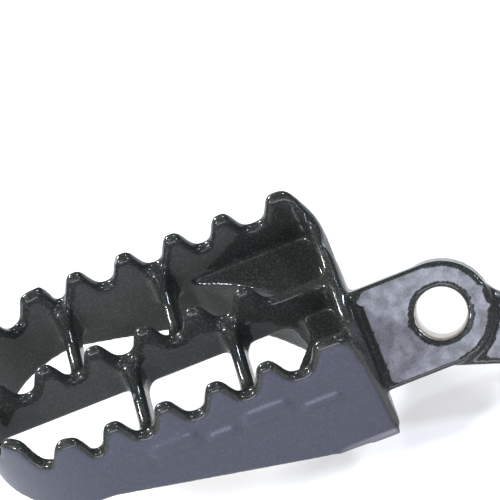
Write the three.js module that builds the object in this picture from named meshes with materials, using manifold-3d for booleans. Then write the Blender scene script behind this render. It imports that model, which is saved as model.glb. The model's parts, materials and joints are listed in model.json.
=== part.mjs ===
// Folding motorcycle foot peg, right-hand side: a toothed cast platform that hinges on a leaning
// pivot pin, with a stop arm and a torsion return spring round the pivot boss.
// Millimetres. Origin: middle of the pivot bore. +X: outboard along the platform. +Y: forward.
// +Z: up, the way the teeth point.

import * as THREE from 'three';
import { mergeVertices } from 'three/addons/utils/BufferGeometryUtils.js';
import Module from 'manifold-3d';

const wasm = await Module();
wasm.setup();

// ---- driving dimensions ------------------------------------------------------------------

// fits
const jointGap = 0.3;          // between neighbouring members
const runningGap = 0.3;        // between the sleeve and what turns on it

// pivot
const pinLean = THREE.MathUtils.degToRad(45);  // how far the pivot axis stands up from level
const boreRadius = 4.9;        // hole through the pivot sleeve
const sleeveWall = 0.6;
const bossWall = 0.8;
const earTopHeight = 11.0;     // ear's upper face above the bore's middle, along the pivot axis
const earThickness = 10.0;
const earEndRadius = 9.8;
const lipThickness = 1.5;      // lip at the ear's upper face that keeps the sleeve in
const lipClearance = 0.1;      // lip hole's radius over the bore's
const bossEndDepth = 12.5;     // boss end below the bore's middle, along the pivot axis
const bossEndChamfer = 0.3;
const bossFillet = 1.0;        // boss to pad
const padRadius = 10.0;
const padThickness = 2.2;
const padChamfer = 0.8;

// stop arm
const armStep = 1.5;           // arm's upper face below the ear's upper face
const armThickness = 6.5;
const armWidth = 12.4;
const armReach = 27.0;         // pivot axis to the arm's end
const armAngle = THREE.MathUtils.degToRad(20);
const armOffset = 3.2;         // arm's centre line off the pivot axis
const armEndTrim = 4.0;        // how far its end corners are rounded off
const armRootX = 4.0;          // where the bar starts, inside the ear's round end

// return spring
const wireRadius = 0.9;
const coilTurns = 4.25;
const coilPitch = 2.05;
const coilClearance = 0.5;     // coil to boss
const coilDrop = 0.6;          // pad's underside to the first turn
const pegLegLength = 9.0;
const frameLegLength = 15.0;

// platform
const platformMidY = -4.8;     // platform's centre line
const rowSpacing = 20.0;       // centre rib to each side wall
const wallThickness = 2.8;
const ribThickness = 2.6;
const crossbarThickness = 2.6;
const crossbarRound = 1.2;     // rolled upper edges of a crossbar
const noseLead = 0.4;          // last straight valley to where the round nose starts
const plateOuterX = 14.7;
const plateThickness = 3.2;
const tipHeight = 20.1;
const innerWallDepth = 28.8;   // tooth tip to bottom edge, next to the end plate
const noseWallDepth = 17.0;    // tooth tip to bottom edge, round the nose
const ribDepth = 13.2;
const levelBottomEnd = 28.3;   // the bottom edge is level up to here, then rises to the nose
const bottomBendTrim = 3.0;

// teeth
const toothPitch = 10.0;
const toothHeight = 5.6;
const firstToothX = 32.8;
const straightTeeth = 4;
const valleyHalf = 1.3;
const innerValleyHalf = 1.8;
const flankRun = 2.25;
const cornerTipReach = 1.6;    // how far the rear corner tooth's top reaches over the bend
const cornerFlankRun = 2.6;    // and its flank beyond that
const shoulderHeight = 15.9;   // the end plate's top between that flank and its low stretch
const shoulderReach = 9.0;     // how far that shoulder reaches from the rear
const rearDipRun = 4.0;        // from the shoulder down to the end plate's low stretch
const frontDipRun = 6.0;       // from the low stretch up to the front corner tooth
const dipTrim = 3.0;
const tipRound = 1.3;
const valleyRound = 1.2;
const noseToothStep = THREE.MathUtils.degToRad(32);
const noseValleys = 3;         // to each side of the one at the nose's tip
const ribEndFlat = 1.5;        // the rib's low end where it meets the nose
const ribEndRise = 2.0;        // from that low end up to its last tooth
const ribEdgeTrim = 1.0;

// corners between the end plate and the side walls
const ledgeDepth = 11.8;       // tooth tip down to the ledges on top of the corner blocks
const webToCrossbar = 3.4;     // rear corner web's toe short of the first rear crossbar
const blockToCrossbar = 5.4;   // root block's toe short of the first front crossbar
const footReach = 6.5;         // the rib's deep foot, from the end plate
const footRise = 3.0;          // run from the foot up to the rib's bottom edge
const footTrim = 2.0;
const webWaistX = 13.5;        // rear web's waist, from the end plate
const webWaistY = 4.6;         // and from the rear wall
const blockWaistY = 6.5;       // root block's waist, from the platform's centre line
const bendDepth = 6.0;         // rear corner's bend, outboard from the end plate's outer face
const bendOuterRun = 12.0;     // the bend's outside, along the end plate
const bendInnerRun = 6.0;      // the bend's inside, measured to the same rear face

// room for the frame lug, cut into the end plate below the ear
const reliefDepth = 5.9;
const reliefFrontY = 7.7;      // its mouth on the end plate
const reliefRearY = -17.8;
const reliefFloorFrontY = 3.7; // its floor
const reliefFloorRearY = -1.8;

// cutting
const skim = 0.05;             // a rounded cut ends this far above the surface it leaves
const clear = 2.0;             // a cutter sticks out this far past what it cuts
const beyond = 80.0;           // further out than any part of the peg

// ---- worked-out places -------------------------------------------------------------------

const plateInnerX = plateOuterX + plateThickness;
const wallStartX = plateInnerX + jointGap;
const wallInnerOffset = rowSpacing - wallThickness / 2;
const wallOuterOffset = rowSpacing + wallThickness / 2;
const valleyHeight = tipHeight - toothHeight;
const bendX = plateOuterX + bendDepth;
const rearFaceY = platformMidY - wallOuterOffset;
const frontFaceY = platformMidY + wallOuterOffset;
const levelBottom = tipHeight - innerWallDepth;
const noseBottom = tipHeight - noseWallDepth;
const ribBottom = tipHeight - ribDepth;
const firstValleyX = firstToothX + toothPitch / 2;
const noseCentreX = firstValleyX + (straightTeeth - 1) * toothPitch + noseLead;
const innerValleyX = firstToothX - toothPitch / 2 - (innerValleyHalf - valleyHalf);
const sleeveRadius = boreRadius + sleeveWall;
const bossBoreRadius = sleeveRadius + runningGap;
const bossRadius = bossBoreRadius + bossWall;
const earBottomHeight = earTopHeight - earThickness;
const bossTopHeight = earBottomHeight - jointGap;
const coilRadius = bossRadius + coilClearance + wireRadius;

// from the end plate to the nose
const crossbarPlaces = ['front_inner', 'rear_inner', 'front_outer', 'rear_outer'];

// ---- materials ---------------------------------------------------------------------------

const castSteel = new THREE.MeshStandardMaterial({ color: 0x2e3138, roughness: 0.4, metalness: 0.85 });
const bareSteel = new THREE.MeshStandardMaterial({ color: 0x9c968e, roughness: 0.35, metalness: 1.0 });
const springSteel = new THREE.MeshStandardMaterial({ color: 0x55585c, roughness: 0.3, metalness: 1.0 });

// ---- helpers -----------------------------------------------------------------------------

// A closed geometry as a solid that can be joined and cut.
function solidOf(geometry) {
  const plain = geometry.clone();
  plain.deleteAttribute('normal');
  plain.deleteAttribute('uv');
  const merged = mergeVertices(plain, 1e-4);
  const mesh = new wasm.Mesh({
    numProp: 3,
    vertProperties: new Float32Array(merged.attributes.position.array),
    triVerts: new Uint32Array(merged.index.array),
  });
  return new wasm.Manifold(mesh);
}

function geometryOf(solid) {
  const mesh = solid.getMesh();
  const geometry = new THREE.BufferGeometry();
  geometry.setAttribute('position', new THREE.BufferAttribute(new Float32Array(mesh.vertProperties), 3));
  geometry.setIndex(new THREE.BufferAttribute(new Uint32Array(mesh.triVerts), 1));
  geometry.computeVertexNormals();
  return geometry;
}

// A closed outline through corner points [x, y, trim], each corner rounded off over its trim.
function roundedShape(corners) {
  const shape = new THREE.Shape();
  const points = corners.map(([x, y, trim]) => ({ at: new THREE.Vector2(x, y), trim: trim ?? 0 }));
  points.forEach((corner, index) => {
    const before = points[(index + points.length - 1) % points.length].at;
    const after = points[(index + 1) % points.length].at;
    const enter = before.clone().sub(corner.at).setLength(corner.trim).add(corner.at);
    const leave = after.clone().sub(corner.at).setLength(corner.trim).add(corner.at);
    if (index === 0) shape.moveTo(enter.x, enter.y);
    else shape.lineTo(enter.x, enter.y);
    if (corner.trim > 0) shape.quadraticCurveTo(corner.at.x, corner.at.y, leave.x, leave.y);
  });
  shape.closePath();
  return shape;
}

function extrude(shape, depth, segments = 4) {
  return new THREE.ExtrudeGeometry(shape, { depth, bevelEnabled: false, curveSegments: segments });
}

// An outline drawn in X and Z, extruded along Y from one place to another.
function extrudeAlongY(shape, fromY, toY) {
  return extrude(shape, toY - fromY).rotateX(Math.PI / 2).translate(0, toY, 0);
}

// An outline drawn in Y and Z, extruded along X from one place to another.
function extrudeAlongX(shape, fromX, toX) {
  return extrude(shape, toX - fromX).rotateY(Math.PI / 2).rotateX(Math.PI / 2).translate(fromX, 0, 0);
}

function box(lowX, highX, lowY, highY, lowZ, highZ) {
  const geometry = new THREE.BoxGeometry(highX - lowX, highY - lowY, highZ - lowZ);
  return geometry.translate((lowX + highX) / 2, (lowY + highY) / 2, (lowZ + highZ) / 2);
}

// A ring or stepped tube about Z from a closed profile of [radius, height] points.
function turned(profile, segments = 40) {
  const closed = [...profile, profile[0]].map(([radius, height]) => new THREE.Vector2(radius, height));
  return new THREE.LatheGeometry(closed, segments).rotateX(Math.PI / 2);
}

function named(name, geometry, material) {
  const mesh = new THREE.Mesh(geometry, material);
  mesh.name = name;
  return mesh;
}

// ---- teeth -------------------------------------------------------------------------------

// What is cut away between two teeth: a flat-bottomed V with a rounded floor and rolled lips.
function valleyShape(half) {
  const top = half + flankRun;
  const slope = Math.hypot(flankRun, toothHeight);
  const rollX = (flankRun / slope) * tipRound;
  const rollZ = (toothHeight / slope) * tipRound;
  const lip = tipHeight + skim;
  const shape = new THREE.Shape();
  const roundX = (flankRun / slope) * valleyRound;
  const roundZ = (toothHeight / slope) * valleyRound;
  shape.moveTo(-half + valleyRound, valleyHeight);
  shape.lineTo(half - valleyRound, valleyHeight);
  shape.quadraticCurveTo(half, valleyHeight, half + roundX, valleyHeight + roundZ);
  shape.lineTo(top - rollX, tipHeight - rollZ);
  shape.quadraticCurveTo(top, tipHeight, top + tipRound, lip);
  shape.lineTo(top + tipRound, tipHeight + clear);
  shape.lineTo(-top - tipRound, tipHeight + clear);
  shape.lineTo(-top - tipRound, lip);
  shape.quadraticCurveTo(-top, tipHeight, -top + rollX, tipHeight - rollZ);
  shape.lineTo(-half - roundX, valleyHeight + roundZ);
  shape.quadraticCurveTo(-half, valleyHeight, -half + valleyRound, valleyHeight);
  return shape;
}

// A valley across a wall that runs along X.
function straightValley(centreX, middleY, half = valleyHalf) {
  const reach = wallThickness;
  return solidOf(extrudeAlongY(valleyShape(half), middleY - reach, middleY + reach).translate(centreX, 0, 0));
}

// A valley across the nose, at an angle from +X about the nose's centre.
function noseValley(angle) {
  const outward = extrudeAlongY(valleyShape(valleyHalf), wallInnerOffset - clear, wallOuterOffset + clear);
  outward.rotateZ(angle - Math.PI / 2).translate(noseCentreX, platformMidY, 0);
  return solidOf(outward);
}

// ---- platform members --------------------------------------------------------------------

// The platform's side view below the tooth tips: level next to the pivot, then rising to the nose.
function sideOutline(startX) {
  const endX = noseCentreX - jointGap;
  return roundedShape([
    [startX, levelBottom],
    [levelBottomEnd, levelBottom, bottomBendTrim],
    [endX, noseBottom],
    [endX, tipHeight],
    [startX, tipHeight],
  ]);
}

function sideWall(side, startX) {
  const middleY = platformMidY + side * rowSpacing;
  const outline = sideOutline(startX);
  let wall = solidOf(extrudeAlongY(outline, middleY - wallThickness / 2, middleY + wallThickness / 2));
  wall = wall.subtract(straightValley(innerValleyX, middleY, innerValleyHalf));
  for (let tooth = 0; tooth < straightTeeth; tooth += 1) {
    wall = wall.subtract(straightValley(firstValleyX + tooth * toothPitch, middleY));
  }
  return geometryOf(wall);
}

function noseWall() {
  const outline = new THREE.Shape();
  outline.absarc(0, 0, wallOuterOffset, -Math.PI / 2, Math.PI / 2, false);
  outline.absarc(0, 0, wallInnerOffset, Math.PI / 2, -Math.PI / 2, true);
  const ring = extrude(outline, tipHeight - noseBottom, 40).translate(noseCentreX, platformMidY, noseBottom);
  let wall = solidOf(ring);
  for (let valley = -noseValleys; valley <= noseValleys; valley += 1) {
    wall = wall.subtract(noseValley(valley * noseToothStep));
  }
  return geometryOf(wall);
}

function centreRib() {
  const noseInnerX = noseCentreX + wallInnerOffset - jointGap;
  const footX = plateInnerX + footReach;
  const outline = roundedShape([
    [wallStartX, levelBottom],
    [footX, levelBottom, footTrim],
    [footX + footRise, ribBottom, footTrim],
    [noseInnerX, ribBottom],
    [noseInnerX, valleyHeight],
    [noseInnerX - ribEndFlat, valleyHeight, ribEndFlat / 2],
    [noseInnerX - ribEndFlat - ribEndRise, tipHeight, ribEdgeTrim],
    [firstToothX - tipRound, tipHeight, ribEdgeTrim],
    [firstToothX - tipRound - flankRun, valleyHeight, ribEdgeTrim],
    [wallStartX, valleyHeight],
  ]);
  const half = ribThickness / 2;
  let rib = solidOf(extrudeAlongY(outline, platformMidY - half, platformMidY + half));
  for (let tooth = 0; tooth < straightTeeth + 1; tooth += 1) {
    rib = rib.subtract(straightValley(firstValleyX + tooth * toothPitch, platformMidY));
  }
  return geometryOf(rib);
}

// The crossbars stand at successive valleys, to the front and to the rear in turn.
function crossbarX(place) {
  return firstValleyX + crossbarPlaces.indexOf(place) * toothPitch;
}

// A bar from the rib to a side wall, at the level of the valleys.
function crossbar(place) {
  const centreX = crossbarX(place);
  const half = crossbarThickness / 2;
  const outline = roundedShape([
    [centreX - half, ribBottom],
    [centreX + half, ribBottom],
    [centreX + half, valleyHeight, crossbarRound],
    [centreX - half, valleyHeight, crossbarRound],
  ]);
  const near = ribThickness / 2 + jointGap;
  const far = wallInnerOffset - jointGap;
  const toFront = place.startsWith('front');
  const from = toFront ? platformMidY + near : platformMidY - far;
  const to = toFront ? platformMidY + far : platformMidY - near;
  return extrudeAlongY(outline, from, to);
}

// Room for the frame lug: everything below the ear and next to the boss is cut back.
function lugRelief() {
  const deepX = plateOuterX + reliefDepth;
  const plan = new THREE.Shape();
  plan.moveTo(plateOuterX - skim, reliefFrontY);
  plan.lineTo(deepX, reliefFloorFrontY);
  plan.lineTo(deepX, reliefFloorRearY);
  plan.lineTo(plateOuterX - skim, reliefRearY);
  const column = solidOf(extrude(plan, 2 * innerWallDepth).translate(0, 0, levelBottom - clear));
  const below = box(-beyond, beyond, -beyond, beyond, -beyond, earBottomHeight);
  return column.intersect(solidOf(inPivotFrame(below)));
}

// The end plate turns the rear corner with a long bend; its top dips between the corner teeth.
function endPlate() {
  const outerRunY = rearFaceY + bendOuterRun;
  const innerRunY = rearFaceY + bendInnerRun;
  const innerRun = bendInnerRun - wallThickness;
  const plan = new THREE.Shape();
  plan.moveTo(plateInnerX, frontFaceY);
  plan.lineTo(plateOuterX, frontFaceY);
  plan.lineTo(plateOuterX, outerRunY);
  plan.absellipse(bendX, outerRunY, bendDepth, bendOuterRun, Math.PI, Math.PI * 1.5, false, 0);
  plan.lineTo(bendX, rearFaceY + wallThickness);
  plan.absellipse(bendX, innerRunY, bendX - plateInnerX, innerRun, Math.PI * 1.5, Math.PI, true, 0);
  plan.lineTo(plateInnerX, frontFaceY);
  const blank = solidOf(extrude(plan, innerWallDepth, 8).translate(0, 0, levelBottom));
  const tipEndX = bendX - cornerTipReach;
  const flank = roundedShape([
    [tipEndX, tipHeight + skim, tipRound],
    [tipEndX - cornerFlankRun, shoulderHeight, tipRound],
    [plateOuterX - clear, shoulderHeight],
    [plateOuterX - clear, tipHeight + clear],
    [tipEndX + tipRound, tipHeight + clear],
    [tipEndX + tipRound, tipHeight + skim],
  ]);
  const flankCut = solidOf(extrudeAlongY(flank, rearFaceY - clear, rearFaceY + shoulderReach + skim));
  const dip = roundedShape([
    [rearFaceY + shoulderReach, shoulderHeight],
    [rearFaceY + shoulderReach + rearDipRun, valleyHeight, dipTrim],
    [frontFaceY - wallThickness - frontDipRun, valleyHeight, dipTrim],
    [frontFaceY - wallThickness, tipHeight + skim, tipRound],
    [frontFaceY - wallThickness, tipHeight + clear],
    [rearFaceY + shoulderReach, tipHeight + clear],
  ]);
  const dipCut = solidOf(extrudeAlongX(dip, plateOuterX - clear, plateInnerX + clear));
  return geometryOf(blank.subtract(flankCut).subtract(dipCut).subtract(lugRelief()));
}

// A block in a corner behind the end plate, from a plan outline, cut clear of the frame lug.
function cornerBlock(plan) {
  const height = innerWallDepth - ledgeDepth;
  const block = solidOf(extrude(plan, height, 8).translate(0, 0, levelBottom));
  const sideView = solidOf(extrudeAlongY(sideOutline(wallStartX), -beyond, beyond));
  return geometryOf(block.intersect(sideView).subtract(lugRelief()));
}

function rootBlock() {
  const nearY = platformMidY + ribThickness / 2 + jointGap;
  const wallY = platformMidY + wallInnerOffset - jointGap;
  const plan = roundedShape([
    [wallStartX, nearY],
    [plateInnerX + footReach, nearY],
    [plateInnerX + footReach, platformMidY + blockWaistY, footTrim],
    [crossbarX('front_inner') - blockToCrossbar, wallY],
    [wallStartX, wallY],
  ]);
  return cornerBlock(plan);
}

function cornerWeb() {
  const nearY = platformMidY - ribThickness / 2 - jointGap;
  const wallY = platformMidY - wallInnerOffset + jointGap;
  const bendY = rearFaceY + bendInnerRun;
  const plan = new THREE.Shape();
  plan.moveTo(wallStartX, nearY);
  plan.lineTo(wallStartX, bendY);
  plan.absellipse(bendX, bendY, bendX - wallStartX, bendY - wallY, Math.PI, Math.PI * 1.5, false, 0);
  plan.lineTo(crossbarX('rear_inner') - webToCrossbar, wallY);
  plan.quadraticCurveTo(plateInnerX + webWaistX, wallY + webWaistY, plateInnerX + footReach, nearY);
  return cornerBlock(plan);
}

// ---- pivot members, drawn with the pivot axis as Z ---------------------------------------

// Turns something drawn about the pivot axis into its place: the axis leans forward and up.
function inPivotFrame(geometry) {
  return geometry.rotateX(pinLean - Math.PI / 2);
}

function earPlate() {
  const endX = plateOuterX - jointGap;
  const outline = new THREE.Shape();
  outline.moveTo(endX, -earEndRadius);
  outline.lineTo(endX, earEndRadius);
  outline.lineTo(0, earEndRadius);
  outline.absarc(0, 0, earEndRadius, Math.PI / 2, Math.PI * 1.5, false);
  const blank = solidOf(extrude(outline, earThickness, 28).translate(0, 0, earBottomHeight));
  const lipRadius = boreRadius + lipClearance;
  const lipHole = new THREE.CylinderGeometry(lipRadius, lipRadius, beyond, 40);
  const mainHole = new THREE.CylinderGeometry(bossBoreRadius, bossBoreRadius, beyond, 40);
  mainHole.rotateX(Math.PI / 2).translate(0, 0, earTopHeight - lipThickness - beyond / 2);
  return geometryOf(blank.subtract(solidOf(lipHole.rotateX(Math.PI / 2))).subtract(solidOf(mainHole)));
}

function stopArm() {
  const half = armWidth / 2;
  const straight = roundedShape([
    [armRootX, -half + armOffset],
    [armRootX, half + armOffset],
    [-armReach, half + armOffset, armEndTrim],
    [-armReach, -half + armOffset, armEndTrim],
  ]);
  const top = earTopHeight - armStep;
  const bar = extrude(straight, armThickness, 8).rotateZ(-armAngle).translate(0, 0, top - armThickness);
  const roundRadius = earEndRadius + jointGap;
  const round = new THREE.CylinderGeometry(roundRadius, roundRadius, beyond, 60);
  const behind = box(0, beyond, -beyond, beyond, -beyond, beyond);
  return geometryOf(solidOf(bar).subtract(solidOf(round.rotateX(Math.PI / 2))).subtract(solidOf(behind)));
}

function pivotBoss() {
  const padBottom = bossTopHeight - padThickness;
  return turned([
    [bossBoreRadius, -bossEndDepth],
    [bossRadius - bossEndChamfer, -bossEndDepth],
    [bossRadius, -bossEndDepth + bossEndChamfer],
    [bossRadius, padBottom - bossFillet],
    [bossRadius + bossFillet, padBottom],
    [padRadius - padChamfer, padBottom],
    [padRadius, padBottom + padChamfer],
    [padRadius, bossTopHeight],
    [bossBoreRadius, bossTopHeight],
  ]);
}

function pivotSleeve() {
  const top = earTopHeight - lipThickness - runningGap;
  return turned([
    [boreRadius, -bossEndDepth],
    [sleeveRadius, -bossEndDepth],
    [sleeveRadius, top],
    [boreRadius, top],
  ]);
}

// One wire: a leg that bears on the end plate, the coil round the boss, a leg for the frame.
class SpringPath extends THREE.Curve {
  constructor() {
    super();
    this.coilTop = bossTopHeight - padThickness - coilDrop - wireRadius;
    this.coilLength = coilTurns * 2 * Math.PI * coilRadius;
    this.wireLength = pegLegLength + this.coilLength + frameLegLength;
  }

  getPoint(share, target = new THREE.Vector3()) {
    const startAngle = -Math.PI / 2;
    const along = share * this.wireLength;
    const onCoil = THREE.MathUtils.clamp(along - pegLegLength, 0, this.coilLength);
    const turns = onCoil / (2 * Math.PI * coilRadius);
    const angle = startAngle - turns * 2 * Math.PI;
    target.set(coilRadius * Math.cos(angle), coilRadius * Math.sin(angle), this.coilTop - turns * coilPitch);
    const before = Math.max(pegLegLength - along, 0);
    const after = Math.max(along - pegLegLength - this.coilLength, 0);
    const straight = after - before;
    target.x += straight * Math.sin(angle);
    target.y -= straight * Math.cos(angle);
    return target;
  }
}

function returnSpring() {
  const section = new THREE.Shape();
  section.absarc(0, 0, wireRadius, 0, 2 * Math.PI, false);
  return new THREE.ExtrudeGeometry(section, { steps: 90, curveSegments: 8, extrudePath: new SpringPath() });
}

// ---- assembly ----------------------------------------------------------------------------

const peg = new THREE.Group();

const platform = new THREE.Group();
platform.add(named('front_wall', sideWall(1, wallStartX), castSteel));
platform.add(named('rear_wall', sideWall(-1, bendX + jointGap), castSteel));
platform.add(named('nose_wall', noseWall(), castSteel));
platform.add(named('centre_rib', centreRib(), castSteel));
for (const place of crossbarPlaces) {
  platform.add(named(`crossbar_${place}`, crossbar(place), castSteel));
}
platform.add(named('end_plate', endPlate(), castSteel));
platform.add(named('root_block', rootBlock(), castSteel));
platform.add(named('corner_web', cornerWeb(), castSteel));
peg.add(platform);

const pivot = new THREE.Group();
pivot.rotation.x = pinLean - Math.PI / 2;
pivot.add(named('ear_plate', earPlate(), castSteel));
pivot.add(named('stop_arm', stopArm(), castSteel));
pivot.add(named('pivot_boss', pivotBoss(), castSteel));
pivot.add(named('pivot_sleeve', pivotSleeve(), bareSteel));
pivot.add(named('return_spring', returnSpring(), springSteel));
peg.add(pivot);

export default peg;
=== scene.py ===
# %% [markdown]
# # A folding foot peg, rebuilt as it would be cast, ground and assembled
#
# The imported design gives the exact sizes: a toothed platform, an ear with a leaning pivot
# hole, a stop arm, a sleeve and a return spring. On the real object the platform, ear, arm and
# boss are one lost-wax steel casting, so nothing on it has a sharp edge or a joint line. This
# lesson loads the design as a fixed frame and builds that casting, the sleeve and the spring
# around it. Everything is in metres, in the design's own frame.

# %% Load the frame
import json
import math

import bmesh
import bpy
from mathutils import Matrix, Vector


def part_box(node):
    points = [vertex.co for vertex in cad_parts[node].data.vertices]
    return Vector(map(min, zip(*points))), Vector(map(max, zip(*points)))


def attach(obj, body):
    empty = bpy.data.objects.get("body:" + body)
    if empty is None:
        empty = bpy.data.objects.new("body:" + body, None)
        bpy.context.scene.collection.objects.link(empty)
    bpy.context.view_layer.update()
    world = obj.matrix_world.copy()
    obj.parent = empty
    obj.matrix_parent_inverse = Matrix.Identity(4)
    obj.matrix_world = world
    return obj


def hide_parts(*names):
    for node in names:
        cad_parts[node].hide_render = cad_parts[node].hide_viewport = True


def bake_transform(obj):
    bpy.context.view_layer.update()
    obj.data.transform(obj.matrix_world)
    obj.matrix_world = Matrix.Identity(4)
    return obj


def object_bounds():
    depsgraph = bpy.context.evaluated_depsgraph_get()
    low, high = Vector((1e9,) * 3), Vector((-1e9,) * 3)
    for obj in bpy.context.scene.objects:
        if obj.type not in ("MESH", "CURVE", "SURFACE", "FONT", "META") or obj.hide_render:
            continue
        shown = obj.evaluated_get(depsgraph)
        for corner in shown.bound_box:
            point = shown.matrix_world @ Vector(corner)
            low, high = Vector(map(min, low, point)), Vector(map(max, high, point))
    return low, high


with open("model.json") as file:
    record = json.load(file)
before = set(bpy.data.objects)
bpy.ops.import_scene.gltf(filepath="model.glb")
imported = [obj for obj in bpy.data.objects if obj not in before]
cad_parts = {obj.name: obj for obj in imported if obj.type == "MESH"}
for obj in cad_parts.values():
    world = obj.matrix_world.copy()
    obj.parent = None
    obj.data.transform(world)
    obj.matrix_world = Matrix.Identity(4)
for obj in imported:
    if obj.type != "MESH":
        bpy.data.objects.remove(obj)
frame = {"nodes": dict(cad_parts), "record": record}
cad_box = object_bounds()
print("nodes in the frame:", len(frame["nodes"]))

# %% [markdown]
# ## Sizes that the frame already holds
#
# The pieces below meet the design exactly, so their sizes are read from it and not typed
# again. The pivot axis leans forward, so it gets its own axes: `pin` runs up the pivot and
# `across` runs down and forward over the ear. X is shared with the platform.

# %% Read the design's own sizes
MM = 0.001

plate_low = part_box("end_plate")[0]
nose_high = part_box("nose_wall")[1]
rib_low, rib_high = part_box("centre_rib")
front_low, front_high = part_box("front_wall")
bar_low, bar_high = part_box("crossbar_front_inner")

tip_z = front_high.z
bottom_z = plate_low.z
ledge_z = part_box("root_block")[1].z
valley_z = bar_high.z
middle_y = (rib_low.y + rib_high.y) / 2

bore = next(mount for mount in frame["record"]["mounts"] if mount["name"] == "pivot_bore")
bore_radius = bore["dims"]["r_mm"] * MM
pin = Vector(bore["axis"]).normalized()
across = Vector((0, pin.z, -pin.y))
pivot_frame = Matrix((Vector((1, 0, 0)), across, pin)).transposed().to_4x4()
print("tooth tips at", round(tip_z / MM, 1), "mm, valleys at", round(valley_z / MM, 1), "mm")


def heights(node):
    """A node's lowest and highest point along the pin."""
    along = [vertex.co.dot(pin) for vertex in frame["nodes"][node].data.vertices]
    return min(along), max(along)


ear_bottom, ear_top = heights("ear_plate")
arm_bottom, arm_top = heights("stop_arm")
boss_top = heights("pivot_boss")[1]
ear_end_radius = -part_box("ear_plate")[0].x
print("ear from", round(ear_bottom / MM, 1), "to", round(ear_top / MM, 1), "mm up the pin")

# %% [markdown]
# ## Camera
#
# A product shot looks down on the peg from in front, with a long lens so that the rows of
# teeth stay parallel. The camera is set by where it stands and by the directions that are
# right and up in its picture.

# %% Place the camera
eye = Vector((-0.0141, 0.4104, 0.4412))
picture_right = Vector((-0.927, 0.212, -0.308)).normalized()
picture_back = Vector((-0.072, 0.708, 0.703)).normalized()
picture_up = picture_back.cross(picture_right).normalized()
picture_right = picture_up.cross(picture_back)

lens = bpy.data.cameras.new("camera")
lens.lens = 230.5
lens.sensor_width = 36
lens.clip_start = 0.01
camera = bpy.data.objects.new("camera", lens)
camera.matrix_world = Matrix.LocRotScale(
    eye, Matrix((picture_right, picture_up, picture_back)).transposed(), Vector((1, 1, 1)))
bpy.context.scene.collection.objects.link(camera)
bpy.context.scene.camera = camera
print("camera stands", round(eye.length, 2), "m from the pivot")

# %% [markdown]
# ## Floor and light
#
# A dark glossy part shows its shape by what it mirrors. One wide soft box stands low in front:
# it lights the outer walls and is hidden from the inside of the peg. A dim one beside the
# camera fills in the ear. Four small bright boxes stand where no flat face mirrors them into
# the camera, so there they show only as glints on rounded edges. The pale floor glows a little,
# as a light table does, which keeps shadows faint. Each box is set by its brightness, so it can
# be resized without changing how bright its reflection is.


# %% Lay the floor
def linked(name, mesh):
    piece = bpy.data.objects.new(name, mesh)
    bpy.context.scene.collection.objects.link(piece)
    return piece


def mesh_from(bm, name):
    mesh = bpy.data.meshes.new(name)
    bm.to_mesh(mesh)
    bm.free()
    return mesh


floor_gap = 0.5 * MM
floor_half_width = 3.0
floor_z = cad_box[0][2] - floor_gap
floor_bm = bmesh.new()
bmesh.ops.create_grid(floor_bm, x_segments=1, y_segments=1, size=floor_half_width)
bmesh.ops.translate(floor_bm, verts=floor_bm.verts, vec=(0, 0, floor_z))
floor = linked("floor", mesh_from(floor_bm, "floor"))

table_top = bpy.data.materials.new("white_light_table")
table_top.use_nodes = True
table_skin = table_top.node_tree.nodes["Principled BSDF"]
table_skin.inputs["Base Color"].default_value = (0.42, 0.42, 0.42, 1)
table_skin.inputs["Roughness"].default_value = 0.9
table_skin.inputs["Specular IOR Level"].default_value = 0.1
table_skin.inputs["Emission Color"].default_value = (1, 1, 1, 1)
table_skin.inputs["Emission Strength"].default_value = 0.56
floor.data.materials.append(table_top)
print("floor at", round(floor_z / MM, 1), "mm")


# %% Hang the soft boxes
def soft_box(name, place, width, height, brightness, tint=(1, 1, 1)):
    """A lamp that faces the peg; `place`, `width` and `height` are in metres."""
    light = bpy.data.lights.new(name, "AREA")
    light.shape = "RECTANGLE"
    light.size = width
    light.size_y = height
    light.energy = brightness * math.pi * width * height
    light.color = tint
    holder = bpy.data.objects.new(name, light)
    holder.location = place
    holder.rotation_euler = (peg_middle - Vector(place)).to_track_quat("-Z", "Y").to_euler()
    bpy.context.scene.collection.objects.link(holder)


peg_middle = Vector((0.03, 0, 0))
cool = (0.72, 0.82, 1.0)
slightly_cool = (0.86, 0.91, 1.0)
violet = (0.86, 0.81, 1.0)
soft_box("low_front_box", (0.15, 0.84, 0.14), 0.9, 0.24, 13, violet)
soft_box("ear_box", (0.40, 0.64, 0.78), 0.55, 0.50, 3.0, cool)
soft_box("left_spot", (0.62, 0.22, 0.58), 0.15, 0.13, 190, slightly_cool)
soft_box("right_spot", (-0.55, 0.28, 0.58), 0.09, 0.09, 210, cool)
soft_box("back_left_spot", (0.42, -0.60, 0.36), 0.16, 0.06, 210)
soft_box("back_right_spot", (-0.28, -0.58, 0.62), 0.08, 0.06, 210, cool)

world = bpy.data.worlds.new("studio")
world.use_nodes = True
surround = world.node_tree.nodes["Background"]
surround.inputs["Color"].default_value = (0.110, 0.108, 0.062, 1)
surround.inputs["Strength"].default_value = 1.0
bpy.context.scene.world = world
bpy.context.scene.view_settings.view_transform = "Standard"

# %% [markdown]
# ## The casting, step 1: members that run into each other
#
# The design keeps its members apart by a hair so that each is its own solid. In the metal
# they flow together. Modelling the joined skin by hand would lose the design's exact sizes,
# so each member is copied and welded, its end faces are pulled into its neighbour, and the
# heap of overlapping solids is later wrapped in one skin.


# %% Copy a member and pull its ends out
SAME_POINT = 0.001 * MM
END_GRAB = 0.02 * MM
PICK_MARGIN = 0.1 * MM
into_neighbour = 0.8 * MM
wax_allowance = 0.5 * MM


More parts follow.
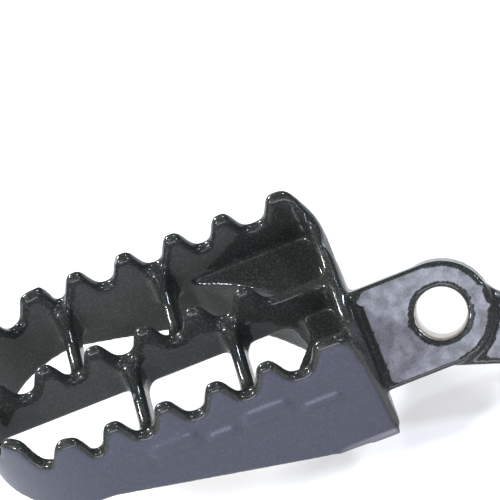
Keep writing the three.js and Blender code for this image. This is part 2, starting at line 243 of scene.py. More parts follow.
def member(node, *pulls):
    """A welded copy of a design member, with its end face on each named side pulled out."""
    bm = bmesh.new()
    bm.from_mesh(frame["nodes"][node].data)
    bmesh.ops.remove_doubles(bm, verts=bm.verts, dist=SAME_POINT)
    for side in pulls:
        side = Vector(side)
        furthest = max(vertex.co.dot(side) for vertex in bm.verts)
        end = [vertex for vertex in bm.verts if vertex.co.dot(side) > furthest - END_GRAB]
        bmesh.ops.translate(bm, verts=end, vec=side * into_neighbour)
    return bm


def add_into(heap, bm):
    """Adds a closed solid to the heap."""
    mesh = mesh_from(bm, "joining")
    heap.from_mesh(mesh)
    bpy.data.meshes.remove(mesh)


def raised(bm):
    """Lifts a member's top profile by what the smoothing will take off it."""
    tops = [vertex for vertex in bm.verts if vertex.co.z > valley_z - PICK_MARGIN]
    bmesh.ops.translate(bm, verts=tops, vec=(0, 0, wax_allowance))
    return bm


# %% Cut a member with a plane
def sliced(bm, point, outward):
    """Cuts off what lies beyond a plane and closes the cut."""
    everything = bm.verts[:] + bm.edges[:] + bm.faces[:]
    cut = bmesh.ops.bisect_plane(bm, geom=everything, plane_co=point, plane_no=outward,
                                 clear_outer=True)
    rim = [item for item in cut["geom_cut"] if isinstance(item, bmesh.types.BMEdge)]
    bmesh.ops.holes_fill(bm, edges=rim)
    bmesh.ops.triangulate(bm, faces=[face for face in bm.faces if len(face.verts) > 4])
    return bm


def plane_through(a, b, c, outward_hint):
    """The normal of the plane through three points, on the side of the hint."""
    normal = (Vector(b) - Vector(a)).cross(Vector(c) - Vector(a)).normalized()
    return normal if normal.dot(Vector(outward_hint)) > 0 else -normal


corner_reach = 4.4 * MM
corner_step = 1.7 * MM
forward, rearward = (0, 1, 0), (0, -1, 0)
corner_top = Vector((plate_low.x + corner_reach, 0, tip_z + wax_allowance))
corner_foot = Vector((plate_low.x + corner_step, 0, tip_z - corner_step + wax_allowance))
corner_fall = plane_through(corner_top, corner_foot, corner_foot + Vector(forward), (-1, 0, 1))
print("corner teeth fall over", round(corner_reach / MM, 1), "mm")

# %% Heap the walls, the rib and the ear
outboard, inboard = (1, 0, 0), (-1, 0, 0)
heap = bmesh.new()
front_wall = raised(member("front_wall", outboard, inboard))
sliced(front_wall, corner_top, corner_fall)
add_into(heap, front_wall)
add_into(heap, raised(member("rear_wall", outboard, inboard)))
add_into(heap, raised(member("nose_wall")))
add_into(heap, raised(member("centre_rib", outboard, inboard)))
add_into(heap, member("root_block", inboard, forward, rearward))
add_into(heap, member("corner_web", inboard, forward, rearward))
add_into(heap, member("ear_plate", outboard))
add_into(heap, member("pivot_boss", pin))
print("faces in the heap:", len(heap.faces))

# %% [markdown]
# ## The casting, step 2: the end plate's corners and falling top
#
# The end plate is eased where it meets the front wall, in a long flat that narrows downwards,
# and its lower rear corner leans inwards for the draft of the mould. Its top falls away in two
# flats, the steeper one lower down. All are plain flats, so planes cut them off the copied plate.

# %% Ease the end plate's front corner
ease_width = 1.9 * MM
ease_width_at_foot = 1.1 * MM
ease_top = Vector((plate_low.x + ease_width, front_high.y, tip_z))
ease_foot = Vector((plate_low.x + ease_width_at_foot, front_high.y, bottom_z))
ease_side = Vector((plate_low.x, front_high.y - ease_width, 0))
ease = plane_through(ease_top, ease_foot, ease_side, (-1, 1, 0))

shoulder_drop = 1.5 * MM
shoulder_foot = Vector((plate_low.x, 0, valley_z - shoulder_drop))
shoulder = plane_through(corner_foot, shoulder_foot, shoulder_foot + Vector(forward), (-1, 0, 1))

end_plate = raised(member("end_plate"))
sliced(end_plate, corner_top, corner_fall)
sliced(end_plate, corner_foot, shoulder)
sliced(end_plate, ease_top, ease)
print("end plate eased by", round(ease_width / MM, 1), "mm at the top")

# %% Lean its lower rear corner inwards
draft_start_y = plate_low.y + 8.4 * MM
draft_at_valley = 0.3 * MM
draft_at_bottom = 1.5 * MM
draft_at_corner = 2.7 * MM
draft_top = Vector((plate_low.x + draft_at_valley, draft_start_y, valley_z))
draft_foot = Vector((plate_low.x + draft_at_bottom, draft_start_y, bottom_z))
draft_corner = Vector((plate_low.x + draft_at_corner, plate_low.y, bottom_z))
draft = plane_through(draft_top, draft_foot, draft_corner, (-1, -1, 0))
sliced(end_plate, draft_top, draft)
add_into(heap, end_plate)
print("rear corner leans in by", round(draft_at_corner / MM, 1), "mm at the bottom")

# %% [markdown]
# ## The casting, step 3: crossbars that flare into the walls
#
# A straight bar between two walls would crack at its ends, so the real bars widen in a curve
# where they meet the rib and the walls, and their rounded tops sag a little between them.
# Each bar starts as a cube with two bevelled edges and rings cut along it, and each ring is
# then widened, most at its foot, and lowered by how far along the bar it is.

# %% Build the crossbars
BAR_RINGS = 15
flare_reach = 3.2 * MM
flare_width = 1.25 * MM
top_flare_share = 0.45
bar_sag = 1.0 * MM
bar_crown = 0.9 * MM


def lengthwise(bm, length):
    """The edges that run from one end of a bar to the other."""
    return [edge for edge in bm.edges
            if abs(edge.verts[0].co.y - edge.verts[1].co.y) > length / 2]


def crossbar(node):
    """A bar between two walls, with its ends flared and its crown sagging."""
    low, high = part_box(node)
    low = low - Vector((0, into_neighbour, 0))
    high = high + Vector((0, into_neighbour, 0))
    middle, size = (low + high) / 2, high - low
    bm = bmesh.new()
    bmesh.ops.create_cube(bm, size=1, matrix=Matrix.LocRotScale(middle, None, size))
    upper = [edge for edge in lengthwise(bm, size.y) if all(v.co.z > middle.z for v in edge.verts)]
    bmesh.ops.bevel(bm, geom=upper, affect="EDGES", offset=bar_crown, segments=3,
                    profile=0.5, material=-1)
    bmesh.ops.subdivide_edges(bm, edges=lengthwise(bm, size.y), cuts=BAR_RINGS, use_grid_fill=True)
    for vertex in bm.verts:
        from_end = min(vertex.co.y - low.y, high.y - vertex.co.y) - into_neighbour
        flare = max(0, 1 - max(from_end, 0) / flare_reach) ** 2
        up_share = (vertex.co.z - low.z) / size.z
        width = flare_width * (1 - (1 - top_flare_share) * up_share)
        vertex.co.x += (vertex.co.x - middle.x) / (size.x / 2) * flare * width
        if vertex.co.z > middle.z:
            share = (vertex.co.y - middle.y) / (size.y / 2)
            vertex.co.z -= bar_sag * max(0, 1 - share * share)
    bmesh.ops.recalc_face_normals(bm, faces=bm.faces)
    return bm


bars = sorted(node for node in frame["nodes"] if node.startswith("crossbar_"))
for node in bars:
    add_into(heap, crossbar(node))
print("crossbars:", len(bars))

# %% [markdown]
# ## The casting, step 4: the arm's root, the corner fillets and the rear bend
#
# The arm's end is hollowed to clear the ear's round end in the design, so here that hollow end
# is pushed back into the ear, and a gusset with a concave edge fills the corner on each side of
# it. The vertical corners over the ledges get concave fillets. For both, turning one vertex
# draws the curve, and extruding the face behind it gives the height.


# %% Push the arm's root into the ear
def verts_in(items):
    return [item for item in items if isinstance(item, bmesh.types.BMVert)]


def extruded(bm, outline, way):
    """Extrudes a flat outline into a closed solid."""
    grown = bmesh.ops.extrude_face_region(bm, geom=outline)
    bmesh.ops.translate(bm, verts=verts_in(grown["geom"]), vec=way)
    bmesh.ops.triangulate(bm, faces=bm.faces[:])
    bmesh.ops.recalc_face_normals(bm, faces=bm.faces)
    return bm


arm_root_grab = 1.2 * MM
near_ear = ear_end_radius + 0.5 * MM
arm = member("stop_arm")
arm_root = [v for v in arm.verts if (v.co - pin * v.co.dot(pin)).length < near_ear]
bmesh.ops.translate(arm, verts=arm_root, vec=(arm_root_grab, 0, 0))
add_into(heap, arm)
print("arm root points moved:", len(arm_root))

# %% Fill the corners between the arm and the ear
arm_angle = math.radians(20)
arm_centre_off = 3.2 * MM
arm_half_width = 6.2 * MM
gusset_sunk = 2 * MM
gusset_root_share = 0.75
GUSSET_STEPS = 10
arm_out = Vector((-math.cos(arm_angle), math.sin(arm_angle), 0))
arm_middle = Vector((math.sin(arm_angle), math.cos(arm_angle), 0)) * arm_centre_off


def arm_gusset(side, radius):
    """A filling with a concave edge between the ear's round end and one edge of the arm."""
    edge_way = Vector((-arm_out.y, arm_out.x, 0)) * side
    edge_off = arm_middle.dot(edge_way) + arm_half_width
    along = math.sqrt((ear_end_radius + radius) ** 2 - (edge_off + radius) ** 2)
    centre = arm_out * along + edge_way * (edge_off + radius)
    on_ear = centre * (ear_end_radius / (ear_end_radius + radius))
    on_arm = centre - edge_way * radius
    one, other = (on_ear - centre), (on_arm - centre)
    turn = math.atan2(one.cross(other).z, one.dot(other))
    bm = bmesh.new()
    start = bm.verts.new(on_ear)
    bmesh.ops.spin(bm, geom=[start], cent=centre, axis=(0, 0, 1), angle=turn, steps=GUSSET_STEPS)
    ordered = sorted(bm.verts, key=lambda vertex: (vertex.co - on_ear).length)
    ordered.append(bm.verts.new(on_arm - edge_way * gusset_sunk))
    ordered.append(bm.verts.new(on_ear * gusset_root_share))
    face = bm.faces.new(ordered)
    bmesh.ops.translate(bm, verts=bm.verts, vec=(0, 0, arm_bottom))
    extruded(bm, [face], (0, 0, arm_top - arm_bottom))
    bmesh.ops.transform(bm, matrix=pivot_frame, verts=bm.verts)
    return bm


rear_gusset_radius = 9 * MM
front_gusset_radius = 16 * MM
add_into(heap, arm_gusset(1, rear_gusset_radius))
add_into(heap, arm_gusset(-1, front_gusset_radius))
print("arm leaves the ear at", round(math.degrees(arm_angle)), "degrees")


# %% Fillet the inner corners
FILLET_STEPS = 8
fillet_sunk = 0.5 * MM


def corner_fillet(corner, toward_x, toward_y, radius, low_z, high_z):
    """A concave fillet in a vertical inside corner, reaching `radius` along both walls."""
    bm = bmesh.new()
    centre = Vector((corner[0] + toward_x * radius, corner[1] + toward_y * radius, low_z))
    start = bm.verts.new((centre.x, centre.y - toward_y * radius, low_z))
    turn = math.pi / 2 * (-1 if toward_x * toward_y > 0 else 1)
    bmesh.ops.spin(bm, geom=[start], cent=centre, axis=(0, 0, 1), angle=turn, steps=FILLET_STEPS)
    ordered = sorted(bm.verts, key=lambda vertex: abs(vertex.co.x - start.co.x))
    behind_x = corner[0] - toward_x * fillet_sunk
    behind_y = corner[1] - toward_y * fillet_sunk
    ordered.append(bm.verts.new((behind_x, ordered[-1].co.y, low_z)))
    ordered.append(bm.verts.new((behind_x, behind_y, low_z)))
    ordered.append(bm.verts.new((start.co.x, behind_y, low_z)))
    return extruded(bm, [bm.faces.new(ordered)], (0, 0, high_z - low_z))


fillet_radius = 2.2 * MM
fillet_top = valley_z - 0.4 * MM
fillet_foot = ledge_z - 1.0 * MM
inner_x = rib_low.x - 0.3 * MM
nose_inner_x = rib_high.x + 0.2 * MM
rib_faces = ((rib_high.y, 1), (rib_low.y, -1))
for face_y, side in rib_faces + ((front_low.y, -1),):
    corner = (inner_x, face_y)
    add_into(heap, corner_fillet(corner, 1, side, fillet_radius, fillet_foot, fillet_top))
for face_y, side in rib_faces:
    corner = (nose_inner_x, face_y)
    add_into(heap, corner_fillet(corner, -1, side, fillet_radius, bar_low.z, valley_z))
print("fillet radius", round(fillet_radius / MM, 1), "mm")


# %% Thicken the rear bend
def block(low, high):
    low, high = Vector(low), Vector(high)
    place = Matrix.LocRotScale((low + high) / 2, None, high - low)
    bm = bmesh.new()
    bmesh.ops.create_cube(bm, size=1, matrix=place)
    return bm


bend_clear_x = 3.4 * MM
bend_clear_y = 2.2 * MM
bend_reach = 7 * MM
bend_low = (plate_low.x + bend_clear_x, plate_low.y + bend_clear_y, bottom_z)
bend_high = (plate_low.x + bend_reach, plate_low.y + bend_reach, ledge_z)
add_into(heap, block(bend_low, bend_high))
print("solids overlap in one heap of", len(heap.faces), "faces")

# %% [markdown]
# ## The casting, step 5: plain raised pads and the ground foot
#
# The front wall carries a few low cast-in pads, kept to plain round-ended shapes: a circle
# with its halves moved apart, extruded out of the wall. The bottom of the wall's inner end is
# a foot that was ground after casting, so it stands a little proud and has a flat bevel. That
# is a block with one plane for the bevel and one for its taper.

# %% Add the raised pads
pad_proud = 0.65 * MM
pad_sunk = 0.8 * MM
pad_segments = 32
tall_pad = (4.4 * MM, 1.7 * MM)
long_strip = (3.6 * MM, 0.8 * MM)
short_strip = (2.6 * MM, 0.8 * MM)


def raised_pad(along_x, up_z, half_length, half_height):
    """A plain round-ended pad that stands out of the front wall."""
    straight = half_length - half_height
    bm = bmesh.new()
    bmesh.ops.create_circle(bm, cap_ends=True, segments=pad_segments, radius=half_height,
                            matrix=Matrix.Rotation(math.pi / 2, 4, "X"))
    for vertex in bm.verts:
        vertex.co.x += math.copysign(straight, vertex.co.x)
    bmesh.ops.translate(bm, verts=bm.verts, vec=(along_x, front_high.y - pad_sunk, up_z))
    return extruded(bm, bm.faces[:], (0, pad_sunk + pad_proud, 0))


add_into(heap, raised_pad(36.1 * MM, 9.8 * MM, *tall_pad))
add_into(heap, raised_pad(54.1 * MM, 10.7 * MM, *tall_pad))
add_into(heap, raised_pad(26.0 * MM, 7.2 * MM, *long_strip))
add_into(heap, raised_pad(45.1 * MM, 8.9 * MM, *short_strip))
print("pads stand", round(pad_proud / MM, 2), "mm proud")

# %% Add the ground foot
foot_proud = 0.9 * MM
foot_height = 1.5 * MM
foot_start = plate_low.x + 0.5 * MM
foot_end = plate_low.x + 13.5 * MM
foot_sunk = 1.5 * MM
foot_face_height = 0.2 * MM
foot = block((foot_start, front_high.y - foot_sunk, bottom_z),
             (foot_end, front_high.y + foot_proud, bottom_z + foot_height))

bevel_top = Vector((foot_start, front_high.y, bottom_z + foot_height))
bevel_foot = Vector((foot_start, front_high.y + foot_proud, bottom_z + foot_face_height))
bevel = plane_through(bevel_top, bevel_foot, bevel_top + Vector((1, 0, 0)), (0, 1, 1))
sliced(foot, bevel_top, bevel)

taper_end = Vector((foot_end, front_high.y, bottom_z))
taper = plane_through(bevel_foot, taper_end, taper_end + Vector((0, 0, 1)), (1, 1, 0))
sliced(foot, taper_end, taper)
add_into(heap, foot)
print("ground foot:", round((foot_end - foot_start) / MM, 1), "mm long")

# %% [markdown]
# ## The casting, step 6: one skin
#
# A voxel remesh wraps the heap in a single closed skin of even small squares, which drops
# everything inside. Smoothing such a skin rounds every corner by the same small amount, as
# wax and shell casting does, and more passes over the tooth tops turn them into the full
# rounds of the real part. Flat faces stay flat, because every neighbour lies in the plane.


# %% Wrap the heap
def applied(piece):
    """Makes a piece's modifiers part of its mesh."""
    seen = piece.evaluated_get(bpy.context.evaluated_depsgraph_get())
    mesh = bpy.data.meshes.new_from_object(seen)
    old = piece.data
    piece.modifiers.clear()
    piece.data = mesh
    bpy.data.meshes.remove(old)


skin_voxel = 0.45 * MM
casting = linked("peg_casting", mesh_from(heap, "peg_casting"))
wrap = casting.modifiers.new("wrap", "REMESH")
wrap.mode = "VOXEL"
wrap.voxel_size = skin_voxel
wrap.adaptivity = 0
applied(casting)
print("skin faces:", len(casting.data.polygons))

# %% Soften the skin
OVERALL_PASSES = 5
TOP_PASSES = 18
below_valley = 1.8 * MM


def softened(bm, vertices, passes):
    for _ in range(passes):
        bmesh.ops.smooth_vert(bm, verts=vertices, factor=0.5,
                              use_axis_x=True, use_axis_y=True, use_axis_z=True)


skin = bmesh.new()
skin.from_mesh(casting.data)
softened(skin, skin.verts, OVERALL_PASSES)
tops = [vertex for vertex in skin.verts if vertex.co.z > valley_z - below_valley
        and vertex.co.x > plate_low.x - PICK_MARGIN]
softened(skin, tops, TOP_PASSES)
print("skin vertices:", len(skin.verts), "of which on the tooth tops:", len(tops))

# %% [markdown]
# ## The casting, step 7: the as-cast facet underneath
#
# Underneath, the rim was ground flat but a facet behind the end plate was left as cast, a
# little deeper. The skin's own vertices are pressed in there, with a soft edge.

# %% Press in the facet
press_depth = 0.7 * MM
press_edge = 0.7 * MM
rim_skin = 0.25 * MM
# The facet's corners, in millimetres from the end plate's lowest corner.
facet_corners = ((6.2, 24.0), (2.6, 9.0), (5.2, 2.4), (13.6, 2.4))
facet = [Vector((plate_low.x + x * MM, plate_low.y + y * MM)) for x, y in facet_corners]


def eased(value):
    """0 to 1 with a soft start and a soft end."""
    value = min(max(value, 0), 1)
    return value * value * (3 - 2 * value)


def inside_by(point, corners):
    """How far a point lies inside a convex outline whose corners run anticlockwise."""
    least = math.inf
    for corner, following in zip(corners, corners[1:] + corners[:1]):
        edge = (following - corner).normalized()
        offset = point - corner
        least = min(least, edge.x * offset.y - edge.y * offset.x)
    return least


pressed = 0
for vertex in skin.verts:
    if vertex.co.z < bottom_z + rim_skin:
        share = eased(inside_by(Vector((vertex.co.x, vertex.co.y)), facet) / press_edge)
        vertex.co.z += press_depth * share
        pressed += share > 0
bmesh.ops.recalc_face_normals(skin, faces=skin.faces)
for face in skin.faces:
    face.smooth = True
skin.to_mesh(casting.data)
skin.free()
print("vertices pressed in:", pressed)

# %% Hand the casting to the frame
triangles = sum(len(polygon.vertices) - 2 for polygon in casting.data.polygons)
print("casting triangles:", triangles)

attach(casting, "peg")
cast_members = [node for node in frame["nodes"] if node not in ("pivot_sleeve", "return_spring")]
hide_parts(*cast_members)

# %% [markdown]
# ## Pivot sleeve
#
# The pivot pin never touches the casting: a thin machined sleeve sits in the bore and stays
# still with the frame while the peg turns on it. It is a turned part, so its wall's section
# is drawn once, as a ring of vertices with eased edges, and spun about the pin.

# %% Turn the sleeve
SPIN_STEPS = 96


def turned(name, profile):
    """Spins a closed section of (radius, height) points about the pin."""
    bm = bmesh.new()
    ring = [bm.verts.new((radius, 0, height)) for radius, height in profile]
    loop = [bm.edges.new((ring[i - 1], ring[i])) for i in range(len(ring))]
    bmesh.ops.spin(bm, geom=ring + loop, cent=(0, 0, 0), axis=(0, 0, 1), angle=2 * math.pi,
                   steps=SPIN_STEPS, use_merge=True)
    bmesh.ops.remove_doubles(bm, verts=bm.verts, dist=SAME_POINT)
    bmesh.ops.recalc_face_normals(bm, faces=bm.faces)
    bmesh.ops.transform(bm, matrix=pivot_frame, verts=bm.verts)
    for face in bm.faces:
        face.smooth = True
    return linked(name, mesh_from(bm, name))


sleeve_bottom, sleeve_top = heights("pivot_sleeve")
sleeve_wall = 0.6 * MM
sleeve_outer = bore_radius + sleeve_wall
edge_ease = 0.2 * MM
sleeve = turned("pivot_bush", (
    (bore_radius, sleeve_bottom + edge_ease), (bore_radius + edge_ease, sleeve_bottom),
    (sleeve_outer - edge_ease, sleeve_bottom), (sleeve_outer, sleeve_bottom + edge_ease),
    (sleeve_outer, sleeve_top - edge_ease), (sleeve_outer - edge_ease, sleeve_top),
    (bore_radius + edge_ease, sleeve_top), (bore_radius, sleeve_top - edge_ease)))
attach(sleeve, "pivot")
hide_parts("pivot_sleeve")
print("sleeve faces:", len(sleeve.data.polygons))

# %% [markdown]
# ## Return spring
#
# The spring is one wire: a leg that bears on the peg, a coil round the boss, and a leg for the
# frame. `spin` with a step along its axis winds a circle of vertices into the coil, and its
# two open ends are then extruded straight out as the legs.

# %% Wind the spring
spring_low, spring_high = heights("return_spring")
wire_radius = 0.9 * MM
coil_turns = 4.25
STEPS_PER_TURN = 40
WIRE_SIDES = 14


def reach(node, side):
    return max(vertex.co.dot(Vector(side)) for vertex in frame["nodes"][node].data.vertices)


coil_radius = -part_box("return_spring")[0].x - wire_radius
coil_top, coil_foot = spring_high - wire_radius, spring_low + wire_radius
coil_steps = round(coil_turns * STEPS_PER_TURN)
peg_leg = reach("return_spring", (1, 0, 0))
frame_leg = reach("return_spring", across)

coil = bmesh.new()
start_place = Matrix.Translation((0, -coil_radius, coil_top)) @ Matrix.Rotation(math.pi / 2, 4, "Y")
bmesh.ops.create_circle(coil, cap_ends=False, radius=wire_radius, segments=WIRE_SIDES,
                        matrix=start_place)
bmesh.ops.spin(coil, geom=coil.verts[:] + coil.edges[:], cent=(0, 0, 0), axis=(0, 0, 1),
               dvec=(0, 0, (coil_foot - coil_top) / coil_steps),
               angle=-coil_turns * 2 * math.pi, steps=coil_steps)
print("coil steps:", coil_steps)

# %% Run its legs out
TIP_SHARE = 0.03
TIP_WIDTH = 0.7
leg_rings = ((1 / 3, 1), (1 / 3, 1), (1 / 3 - TIP_SHARE, 1), (TIP_SHARE, TIP_WIDTH))


def run_out(bm, at_height, toward, length):
    """Extrudes the open end of a wire straight out as a leg with a rounded tip."""
    near_end = 1.5 * wire_radius
    rim = [edge for edge in bm.edges if len(edge.link_faces) == 1
           and abs(sum(v.co.z for v in edge.verts) / 2 - at_height) < near_end]
    for share, width in leg_rings:
        grown = bmesh.ops.extrude_edge_only(bm, edges=rim)
        ring = verts_in(grown["geom"])
        rim = [item for item in grown["geom"] if isinstance(item, bmesh.types.BMEdge)
               and all(v in ring for v in item.verts)]
        bmesh.ops.translate(bm, verts=ring, vec=Vector(toward) * length * share)
        middle = sum((v.co for v in ring), Vector()) / len(ring)
        bmesh.ops.scale(bm, verts=ring, vec=(width, width, width), space=Matrix.Translation(-middle))
    bmesh.ops.holes_fill(bm, edges=rim)


run_out(coil, coil_top, (1, 0, 0), peg_leg)
run_out(coil, coil_foot, (0, 1, 0), frame_leg)
bmesh.ops.recalc_face_normals(coil, faces=coil.faces)
bmesh.ops.transform(coil, matrix=pivot_frame, verts=coil.verts)
for face in coil.faces:
    face.smooth = len(face.verts) == 4
spring = linked("fold_spring", mesh_from(coil, "fold_spring"))
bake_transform(spring)
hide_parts("return_spring")
print("spring faces:", len(spring.data.polygons), "coil radius:", round(coil_radius / MM, 1), "mm")

# %% [markdown]
# ## Finishes, step 1: shared effects
#
# A fine grain with a broad drift of tone is in every finish, so it is a node group with named
# inputs. The paler band along sharp edges, part rub and part painted highlight, and the fine
# rings that a turning tool leaves are groups too, so that any finish can take them with its own
# values. They read the piece's own coordinates, so the pattern moves with the part.


# %% Small helpers for node trees
def add_node(tree, kind, settings=None, **inputs):
    node = tree.nodes.new(kind)
    for name, value in (settings or {}).items():
        setattr(node, name, value)
    for name, value in inputs.items():
        node.inputs[name.replace("_", " ")].default_value = value
    return node


def feed(tree, slots, values):
    """Gives each slot a number, a vector, a colour or another node's output."""
    for slot, value in zip(slots, values):
        if isinstance(value, bpy.types.NodeSocket):
            tree.links.new(value, slot)
        else:
            slot.default_value = value


def calc(tree, operation, *values):
    node = add_node(tree, "ShaderNodeMath", {"operation": operation})
    feed(tree, node.inputs, values)
    return node.outputs[0]


def vector_calc(tree, operation, output, *values):
    """`output` names the wanted output of the vector node, Vector or Value."""
    node = add_node(tree, "ShaderNodeVectorMath", {"operation": operation})
    feed(tree, node.inputs, values)
    return node.outputs[output]


def map_range(tree, value, low, high, at_low, at_high, curve="LINEAR"):
    node = add_node(tree, "ShaderNodeMapRange", {"interpolation_type": curve})
    feed(tree, node.inputs, (value, low, high, at_low, at_high))
    return node.outputs["Result"]


# %% Groups with named inputs
def new_group(name, inputs, outputs):
    tree = bpy.data.node_groups.new(name, "ShaderNodeTree")
    for label, value in inputs.items():
        socket = tree.interface.new_socket(label, in_out="INPUT", socket_type="NodeSocketFloat")
        socket.default_value = value
    for label in outputs:
        tree.interface.new_socket(label, in_out="OUTPUT", socket_type="NodeSocketFloat")
    return tree, tree.nodes.new("NodeGroupInput"), tree.nodes.new("NodeGroupOutput")


def place_group(tree, group, **inputs):
    node = tree.nodes.new("ShaderNodeGroup")
    node.node_tree = group
    for name, value in inputs.items():
        node.inputs[name.replace("_", " ")].default_value = value
    return node


# %% Grain, rub and turning rings
def make_grain():
    tree, given, result = new_group("cast_grain", {"Grain size": 0.3 * MM, "Drift size": 8 * MM},
                                    ("Grain", "Drift"))
    place = add_node(tree, "ShaderNodeTexCoord")
    for size, output, detail in (("Grain size", "Grain", 3.0), ("Drift size", "Drift", 4.0)):
        noise = add_node(tree, "ShaderNodeTexNoise", Detail=detail, Roughness=0.55)
        per_metre = calc(tree, "DIVIDE", 1.0, given.outputs[size])
        tree.links.new(per_metre, noise.inputs["Scale"])
        tree.links.new(place.outputs["Object"], noise.inputs["Vector"])
        tree.links.new(noise.outputs["Fac"], result.inputs[output])
    return tree


# Paler sharp edges: part wear, part a painted highlight along them.
def make_edge_wear_and_highlight():
    tree, given, result = new_group("edge_wear_and_highlight", {"Sharpness": 0.54, "Breakup": 0.5}, ("Rub and highlight",))
    shape = add_node(tree, "ShaderNodeNewGeometry")
    place = add_node(tree, "ShaderNodeTexCoord")
    patches = add_node(tree, "ShaderNodeTexNoise", Scale=420.0, Detail=3.0)
    tree.links.new(place.outputs["Object"], patches.inputs["Vector"])
    fade_width = 0.08
    patch_low, patch_high = 0.35, 0.65
    starts = given.outputs["Sharpness"]
    full = calc(tree, "ADD", starts, fade_width)
    edge = map_range(tree, shape.outputs["Pointiness"], starts, full, 0.0, 1.0, "SMOOTHSTEP")
    kept = calc(tree, "SUBTRACT", 1.0, given.outputs["Breakup"])
    broken = map_range(tree, patches.outputs["Fac"], patch_low, patch_high, kept, 1.0)
    tree.links.new(calc(tree, "MULTIPLY", edge, broken), result.inputs["Rub and highlight"])
    return tree


def make_rings():
    tree, given, result = new_group("turning_rings", {"Ring pitch": 0.25 * MM}, ("Rings",))
    place = add_node(tree, "ShaderNodeTexCoord")
    height = vector_calc(tree, "DOT_PRODUCT", "Value", place.outputs["Object"], pin)
    turns = calc(tree, "DIVIDE", height, given.outputs["Ring pitch"])
    uneven = add_node(tree, "ShaderNodeTexNoise", {"noise_dimensions": "1D"}, Scale=1.0, Detail=3.0)
    tree.links.new(turns, uneven.inputs["W"])
    tree.links.new(uneven.outputs["Fac"], result.inputs["Rings"])
    return tree


grain, edge_wear_and_highlight_group, rings = make_grain(), make_edge_wear_and_highlight(), make_rings()
print("shared effects:", [tree.name for tree in (grain, edge_wear_and_highlight_group, rings)])

# %% [markdown]
# ## Finishes, step 2: blackened cast steel
#
# The casting is blackened and oiled, and is made here as a dark coating with a thin clear gloss
# over a fine cast grain. Masks worked out from the piece's own coordinates pick out the rest:
# the platform's outer walls are more matt and slightly violet, and are painted lighter too, which
# stands in for their reflection of the floor; the ground foot and rim are paler, and the boss
# below the ear is turned bright. Sharp edges are painted paler, part rub and part painted
# highlight.


# %% Helpers that mix and mask
def new_material(name, viewport_colour, **inputs):
    material = bpy.data.materials.new(name)
    material.use_nodes = True
    material.diffuse_color = viewport_colour
    tree = material.node_tree
    skin_shader = tree.nodes["Principled BSDF"]
    for label, value in inputs.items():
        skin_shader.inputs[label.replace("_", " ")].default_value = value
    return material, tree, skin_shader


def blend_colour(tree, mask, under, over):
    mix = add_node(tree, "ShaderNodeMix", {"data_type": "RGBA"})
    feed(tree, (mix.inputs["Factor"], mix.inputs["A"], mix.inputs["B"]), (mask, under, over))
    return mix.outputs["Result"]


def blend_value(tree, mask, under, over):
    return map_range(tree, mask, 0.0, 1.0, under, over)


def ramp(tree, value, low, high):
    """0 up to low and 1 from high on; given the higher one first, it falls from 1 to 0."""
    if low > high:
        return map_range(tree, value, high, low, 1.0, 0.0, "SMOOTHSTEP")
    return map_range(tree, value, low, high, 0.0, 1.0, "SMOOTHSTEP")


def bump(tree, shader, height, strength, distance):
    node = add_node(tree, "ShaderNodeBump", Strength=strength, Distance=distance)
    tree.links.new(height, node.inputs["Height"])
    tree.links.new(node.outputs["Normal"], shader.inputs["Normal"])


# %% Masks for the worked surfaces
def outer_wall_mask(tree, here):
    """1 on the outer face of the platform's walls and round its nose."""
    half_width = front_high.y - middle_y
    nose_centre_x = nose_high.x - half_width
    past_centre = calc(tree, "SUBTRACT", here["X"], nose_centre_x)
    round_nose = calc(tree, "MAXIMUM", past_centre, 0.0)
    off_middle = calc(tree, "SUBTRACT", here["Y"], middle_y)
    sideways = add_node(tree, "ShaderNodeCombineXYZ")
    feed(tree, sideways.inputs, (round_nose, off_middle))
    from_middle = vector_calc(tree, "LENGTH", "Value", sideways.outputs[0])
    starts_inside, full_inside = 0.30 * MM, 0.08 * MM
    plate_edge = 0.6 * MM
    outermost = ramp(tree, from_middle, half_width - starts_inside, half_width - full_inside)
    on_platform = ramp(tree, here["X"], plate_low.x, plate_low.x + plate_edge)
    return calc(tree, "MULTIPLY", outermost, on_platform)


def ground_mask(tree, here):
    """1 on the rim's underside and on the foot that stands proud of the front wall."""
    rim_starts, rim_full = 0.30 * MM, 0.12 * MM
    front_starts, front_full = 0.02 * MM, 0.14 * MM
    foot_edge = 0.2 * MM
    at_bottom = ramp(tree, here["Z"], bottom_z + rim_starts, bottom_z + rim_full)
    foot_top = bottom_z + foot_height
    low_down = ramp(tree, here["Z"], foot_top + foot_edge, foot_top)
    out_front = ramp(tree, here["Y"], front_high.y + front_starts, front_high.y + front_full)
    return calc(tree, "MAXIMUM", at_bottom, calc(tree, "MULTIPLY", low_down, out_front))


def turned_mask(tree, point):
    """1 on the boss, low on the pin and near it."""
    up_pin = vector_calc(tree, "DOT_PRODUCT", "Value", point, pin)
    off_pin = vector_calc(tree, "CROSS_PRODUCT", "Vector", point, pin)
    from_pin = vector_calc(tree, "LENGTH", "Value", off_pin)
    turned_from_top, turned_wall, soft_edge = 3.2 * MM, 2.2 * MM, 0.4 * MM
    turned_top = boss_top - turned_from_top
    turned_radius = bore_radius + turned_wall
    low_on_pin = ramp(tree, up_pin, turned_top, turned_top - soft_edge)
    near_pin = ramp(tree, from_pin, turned_radius + soft_edge, turned_radius)
    return calc(tree, "MULTIPLY", low_on_pin, near_pin)


# %% Mix the cast steel
deep_black = (0.014, 0.016, 0.012, 1)
oiled_black = (0.021, 0.022, 0.018, 1)
# The outer walls' matt violet, painted lighter to stand in for the floor's reflection.
matt_violet_and_painted_reflection = (0.042, 0.044, 0.055, 1)
speck_blue = (0.074, 0.080, 0.102, 1)
# Colour for sharp edges: part rubbed wear, part painted highlight.
worn_edge_and_painted_highlight = (0.30, 0.30, 0.32, 1)
ground_steel = (0.095, 0.092, 0.098, 1)
turned_bright = (0.46, 0.44, 0.42, 1)


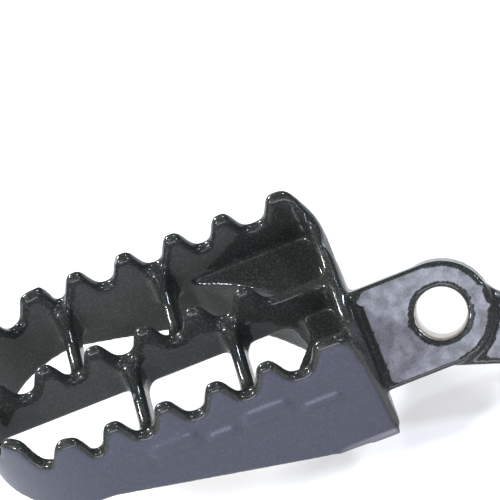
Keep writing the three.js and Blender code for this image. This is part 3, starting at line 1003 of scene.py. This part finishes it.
def cast_steel():
    material, tree, shader = new_material("blackened_cast_steel", (0.1, 0.1, 0.11, 1),
                                          Metallic=0.1, Specular_IOR_Level=0.06,
                                          Coat_Roughness=0.06, Coat_IOR=1.5)
    texture = place_group(tree, grain, Grain_size=0.42 * MM, Drift_size=9 * MM)
    edge_wear_and_highlight_node = place_group(tree, edge_wear_and_highlight_group, Sharpness=0.53, Breakup=0.5)
    point = add_node(tree, "ShaderNodeTexCoord").outputs["Object"]
    split = add_node(tree, "ShaderNodeSeparateXYZ")
    tree.links.new(point, split.inputs[0])
    outer_wall = outer_wall_mask(tree, split.outputs)
    ground = ground_mask(tree, split.outputs)
    turned_boss = turned_mask(tree, point)

    drift = blend_colour(tree, texture.outputs["Drift"], deep_black, oiled_black)
    # Outer walls get the lighter violet: a matt finish plus a painted reflection of the floor.
    blacked = blend_colour(tree, outer_wall, drift, matt_violet_and_painted_reflection)
    specks = calc(tree, "MULTIPLY", ramp(tree, texture.outputs["Grain"], 0.50, 0.68), 0.32)
    speckled = blend_colour(tree, specks, blacked, speck_blue)
    # Sharp edges turn paler: part rub, part painted highlight.
    edges = calc(tree, "MULTIPLY", edge_wear_and_highlight_node.outputs["Rub and highlight"], 0.6)
    with_edge_wear_and_highlight = blend_colour(tree, edges, speckled, worn_edge_and_painted_highlight)
    with_ground = blend_colour(tree, ground, with_edge_wear_and_highlight, ground_steel)
    colour = blend_colour(tree, turned_boss, with_ground, turned_bright)
    tree.links.new(colour, shader.inputs["Base Color"])

    grain_wide = ramp(tree, texture.outputs["Grain"], 0.36, 0.64)
    cast_rough = blend_value(tree, grain_wide, 0.17, 0.42)
    matt_rough = blend_value(tree, outer_wall, cast_rough, 0.42)
    rough = blend_value(tree, ground, matt_rough, 0.5)
    coat = blend_value(tree, outer_wall, 0.34, 0.16)
    tree.links.new(rough, shader.inputs["Roughness"])
    tree.links.new(coat, shader.inputs["Coat Weight"])
    bump(tree, shader, texture.outputs["Grain"], 0.9, 0.11 * MM)
    return material


cast_finish = cast_steel()
casting.data.materials.clear()
casting.data.materials.append(cast_finish)
print("cast steel nodes:", len(cast_finish.node_tree.nodes))

# %% [markdown]
# ## Finishes, step 3: turned steel and spring wire
#
# The sleeve is bare turned steel, warm grey, with the fine rings of its boring tool. The
# spring is drawn wire, darker and smoother, with a faint grain from the die.


# %% Mix the bare steels
def turned_steel():
    material, tree, shader = new_material("turned_steel", (0.6, 0.57, 0.53, 1), Metallic=1.0)
    tool = place_group(tree, rings, Ring_pitch=0.22 * MM)
    texture = place_group(tree, grain, Grain_size=0.22 * MM, Drift_size=4 * MM)
    colour = blend_colour(tree, texture.outputs["Drift"], (0.50, 0.45, 0.40, 1), (0.66, 0.62, 0.57, 1))
    tree.links.new(colour, shader.inputs["Base Color"])
    tree.links.new(blend_value(tree, tool.outputs["Rings"], 0.28, 0.48), shader.inputs["Roughness"])
    bump(tree, shader, tool.outputs["Rings"], 0.35, 0.05 * MM)
    return material


def spring_wire():
    material, tree, shader = new_material("drawn_wire", (0.25, 0.25, 0.27, 1), Metallic=1.0)
    texture = place_group(tree, grain, Grain_size=0.2 * MM, Drift_size=3 * MM)
    colour = blend_colour(tree, texture.outputs["Drift"], (0.16, 0.16, 0.17, 1), (0.27, 0.27, 0.28, 1))
    tree.links.new(colour, shader.inputs["Base Color"])
    tree.links.new(blend_value(tree, texture.outputs["Drift"], 0.24, 0.36), shader.inputs["Roughness"])
    bump(tree, shader, texture.outputs["Grain"], 0.15, 0.03 * MM)
    return material


sleeve.data.materials.append(turned_steel())
spring.data.materials.append(spring_wire())
print("materials:", sorted(material.name for material in bpy.data.materials if material.users))

# %% Write the sizes and finish
bpy.context.view_layer.update()
print("design box mm:", [[round(value / MM, 1) for value in corner] for corner in cad_box])
